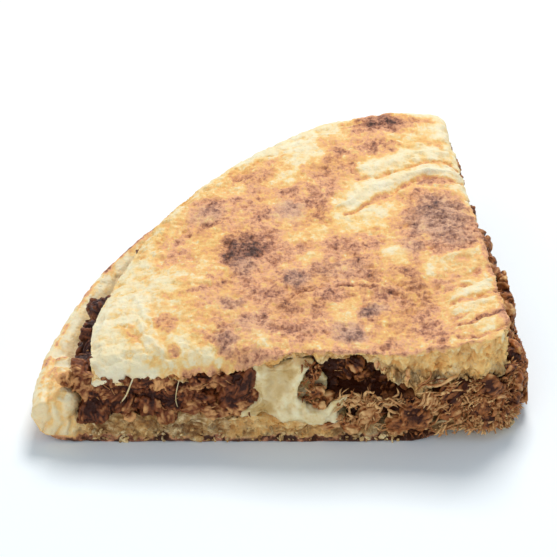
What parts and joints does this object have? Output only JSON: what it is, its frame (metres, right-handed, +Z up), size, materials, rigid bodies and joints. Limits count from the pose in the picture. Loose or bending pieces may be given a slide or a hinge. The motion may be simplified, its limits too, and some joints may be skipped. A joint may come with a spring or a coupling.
{
  "type": "toasted sandwich",
  "caption": "Quarter wedge of a round toasted flatbread sandwich, cut on two sides, with pulled meat and melted cheese showing between the breads.",
  "frame": {"origin": "centre of the base of the bounding box, on the board it lies on", "axes": "+X along the front cut face from the crust to the tip, +Y away from the front cut face, +Z up"},
  "size_m": [0.1158, 0.1152, 0.0272],
  "materials": {
    "bottom_bread": "matt toasted flatbread, cream crumb at the cuts, browned underneath",
    "outer_meat": "moist dark brown pulled meat",
    "melted_cheese": "smooth, slightly shiny pale cheese",
    "inner_meat": "moist brown pulled meat",
    "top_bread": "matt toasted flatbread, cream at the rim, brown and dark brown toasted patches"
  },
  "bodies": {
    "root": {"bottom_bread": "bottom_bread", "outer_meat": "outer_meat", "melted_cheese": "melted_cheese", "inner_meat": "inner_meat", "top_bread": "top_bread"}
  },
  "joints": []
}
